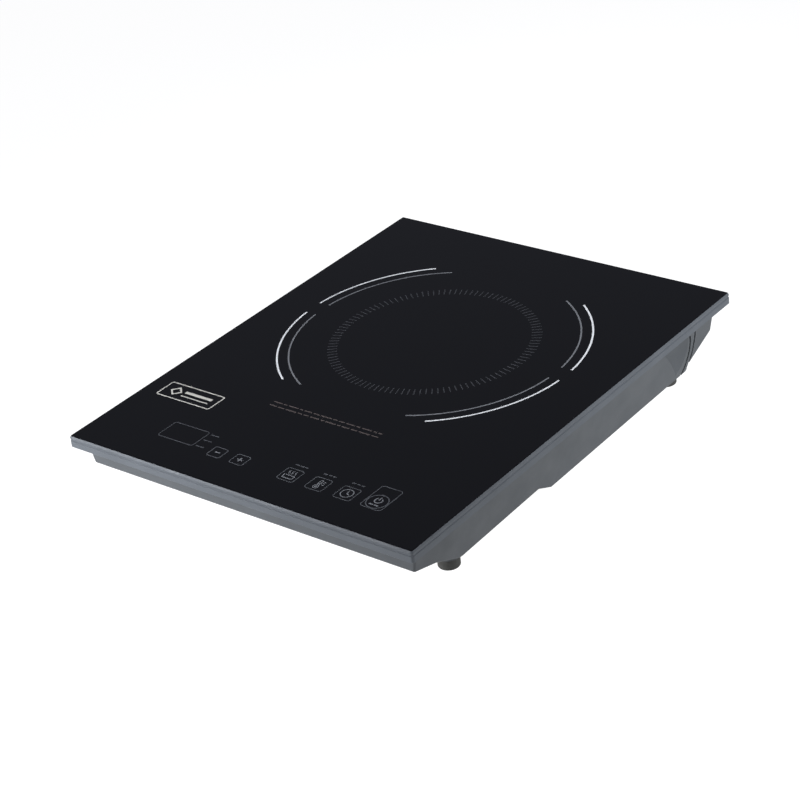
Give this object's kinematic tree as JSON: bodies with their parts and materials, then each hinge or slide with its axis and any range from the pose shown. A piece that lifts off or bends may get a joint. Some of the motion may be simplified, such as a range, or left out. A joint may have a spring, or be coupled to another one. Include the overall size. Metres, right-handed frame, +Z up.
{
  "type": "electric induction cooktop",
  "caption": "Portable induction hob: black glass top in a slim grey rim, touch keys at the front, tapered vented lower housing on rubber feet, coil, power board and cooling fan inside.",
  "frame": {"origin": "on the surface it stands on, under the middle of the rim", "axes": "+X to the user's right, +Y from the keys towards the back, +Z up"},
  "size_m": [0.3, 0.378, 0.055],
  "materials": {
    "aluminium": "extruded aluminium",
    "bearing_brass": "sintered bronze",
    "black_package": "moulded black resin",
    "can_sleeve": "shrink sleeve",
    "capacitor_case": "blue capacitor case",
    "carrier_plastic": "glass-filled black plastic",
    "ceramic_glass": "polished black glass-ceramic",
    "circuit_board": "green solder mask",
    "coil_sleeve": "glass-fibre sleeve",
    "conductive_rubber": "conductive foam",
    "copper_wire": "enamelled copper",
    "display": "dark display resin",
    "fan_plastic": "black fan plastic",
    "ferrite": "matt ferrite",
    "flat_cable": "flat cable",
    "fuse_glass": "clear glass",
    "housing_plastic": "fine-textured blue-grey ABS",
    "lamination_steel": "stacked laminations",
    "lamp_lens": "tinted lamp",
    "lead_insulation": "soft lead insulation",
    "mains_capacitor_case": "yellow capacitor case",
    "mica": "flecked mica board",
    "rim_plastic": "satin blue-grey ABS",
    "rubber": "matt black rubber",
    "screw_steel": "zinc-plated steel",
    "sensor_bead": "ceramic bead",
    "shaft_steel": "ground steel",
    "silicone": "satin silicone",
    "socket_plastic": "white nylon",
    "terminal_plastic": "green terminal block",
    "tinned_brass": "tinned brass",
    "transformer_tape": "yellow polyester tape",
    "varistor_lacquer": "dipped lacquer"
  },
  "bodies": {
    "base": {"board_screws": "screw_steel", "bridge_rectifier": "black_package", "bus_capacitor": "capacitor_case", "buzzer": "black_package", "choke_core": "ferrite", "choke_stand": "black_package", "choke_turns": "copper_wire", "coil_carrier": "carrier_plastic", "coil_leads": "coil_sleeve", "coil_screws": "screw_steel", "coil_winding": "copper_wire", "control_board": "circuit_board", "control_cable": "flat_cable", "control_chips": "black_package", "control_screws": "screw_steel", "cord_gland": "rubber", "current_transformer": "black_package", "device_screws": "screw_steel", "display_module": "display", "fan_bearing": "bearing_brass", "fan_frame": "fan_plastic", "fan_lead": "lead_insulation", "fan_screws": "screw_steel", "fan_stator": "lamination_steel", "ferrite_bars": "ferrite", "foot_front_left": "rubber", "foot_front_right": "rubber", "foot_rear_left": "rubber", "foot_rear_right": "rubber", "foot_screws": "screw_steel", "fuse_clips": "tinned_brass", "glass_adhesive": "silicone", "glass_plate": "ceramic_glass", "glass_sensor": "sensor_bead", "heat_sink": "aluminium", "housing_screws": "screw_steel", "indicator_lamps": "lamp_lens", "key_springs": "conductive_rubber", "lead_sockets": "socket_plastic", "lower_housing": "housing_plastic", "mains_capacitor": "mains_capacitor_case", "mains_fuse": "fuse_glass", "mica_sheet": "mica", "power_board": "circuit_board", "power_terminals": "terminal_plastic", "power_transistor": "black_package", "resonant_capacitor": "capacitor_case", "rim_frame": "rim_plastic", "sensor_holder": "silicone", "sensor_lead": "lead_insulation", "sink_screws": "screw_steel", "small_capacitors": "can_sleeve", "supply_transformer": "transformer_tape", "surge_varistor": "varistor_lacquer", "terminal_screws": "screw_steel", "touch_chip": "black_package"},
    "rotor": {"fan_rotor": "fan_plastic", "fan_shaft": "shaft_steel", "fan_magnet": "ferrite"}
  },
  "joints": [
    {"name": "fan_spin", "type": "hinge", "parent": "base", "child": "rotor", "pos_m": [-0.074, 0.1, 0.021], "axis": [0, 0, 1], "continuous": true}
  ]
}
